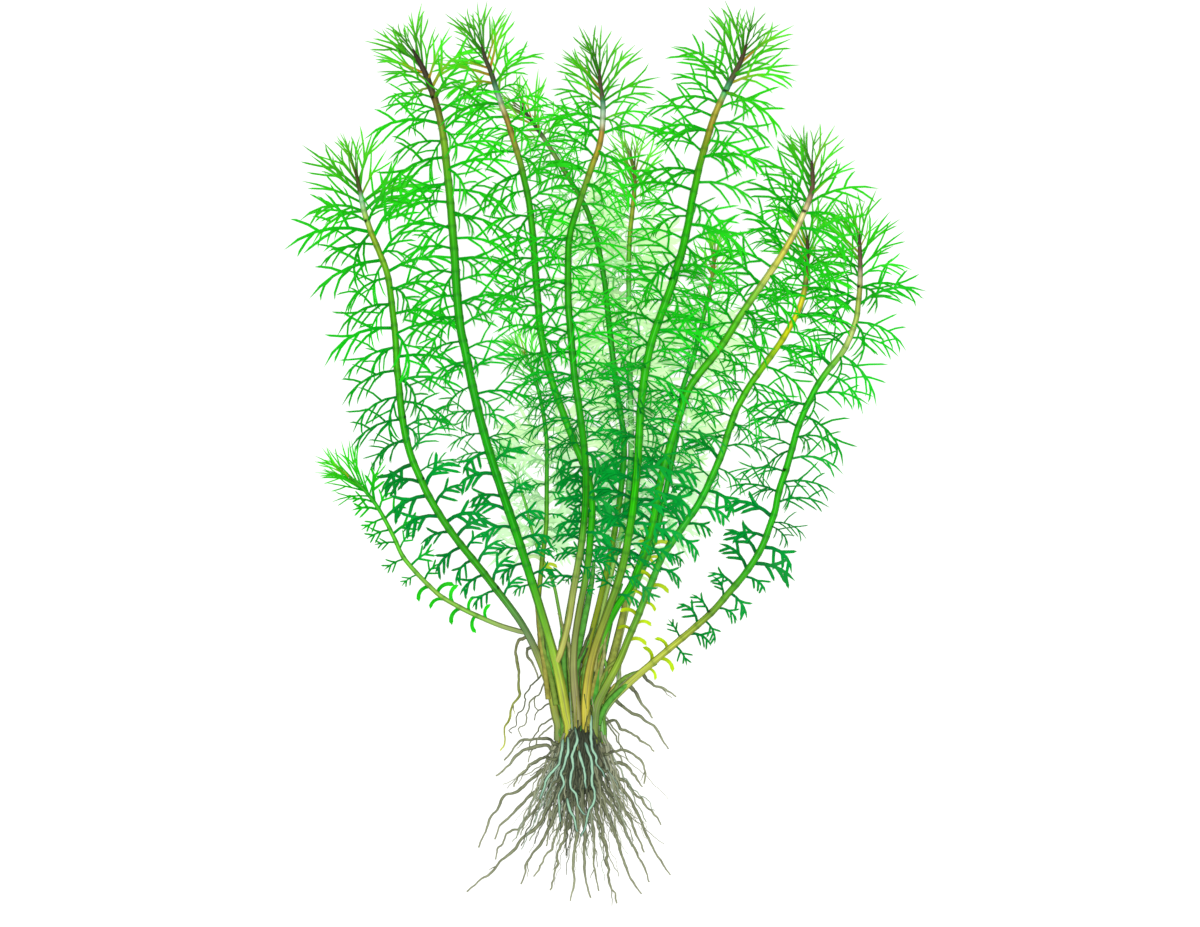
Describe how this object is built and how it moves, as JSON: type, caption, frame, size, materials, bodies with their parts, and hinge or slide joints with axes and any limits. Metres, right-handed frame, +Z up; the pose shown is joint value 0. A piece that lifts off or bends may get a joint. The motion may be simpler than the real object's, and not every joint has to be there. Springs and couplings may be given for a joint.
{
  "type": "water milfoil plant",
  "caption": "Uprooted clump of water milfoil lying flat: feathery leafy shoots fanning from a small crown, with a beard of thin bare roots.",
  "frame": {"origin": "on the surface the clump lies on, under the middle of its bounding box", "axes": "+Y along the clump from the roots to the shoot tips, +X to the right seen from above, +Z up off the surface"},
  "size_m": [0.2813, 0.4024, 0.0747],
  "materials": {
    "shoot_green": "satin, soft living stem and leaf",
    "crown": "dull, damp old stem base",
    "root_olive": "dull",
    "root_pale": "satin"
  },
  "bodies": {
    "root": {"edge_left_shoot": "shoot_green", "low_side_shoot": "shoot_green", "tall_left_shoot": "shoot_green", "tall_mid_left_shoot": "shoot_green", "leaning_shoot": "shoot_green", "centre_shoot": "shoot_green", "straight_back_shoot": "shoot_green", "tall_right_shoot": "shoot_green", "small_right_shoot": "shoot_green", "cream_right_shoot": "shoot_green", "yellow_right_shoot": "shoot_green", "edge_right_shoot": "shoot_green", "short_left_shoot": "shoot_green", "seedling_shoot": "shoot_green", "root_crown": "crown", "root_01": "root_olive", "root_02": "root_olive", "root_03": "root_olive", "root_04": "root_olive", "root_05": "root_olive", "root_06": "root_olive", "root_07": "root_olive", "root_08": "root_olive", "root_09": "root_olive", "root_10": "root_olive", "root_11": "root_olive", "root_12": "root_olive", "root_13": "root_olive", "root_14": "root_olive", "root_15": "root_olive", "root_16": "root_olive", "root_17": "root_olive", "root_18": "root_olive", "root_19": "root_olive", "root_20": "root_olive", "root_21": "root_olive", "root_22": "root_olive", "root_23": "root_olive", "root_24": "root_olive", "root_25": "root_olive", "root_26": "root_olive", "root_27": "root_olive", "root_28": "root_pale", "root_29": "root_pale", "root_30": "root_pale"}
  },
  "joints": []
}
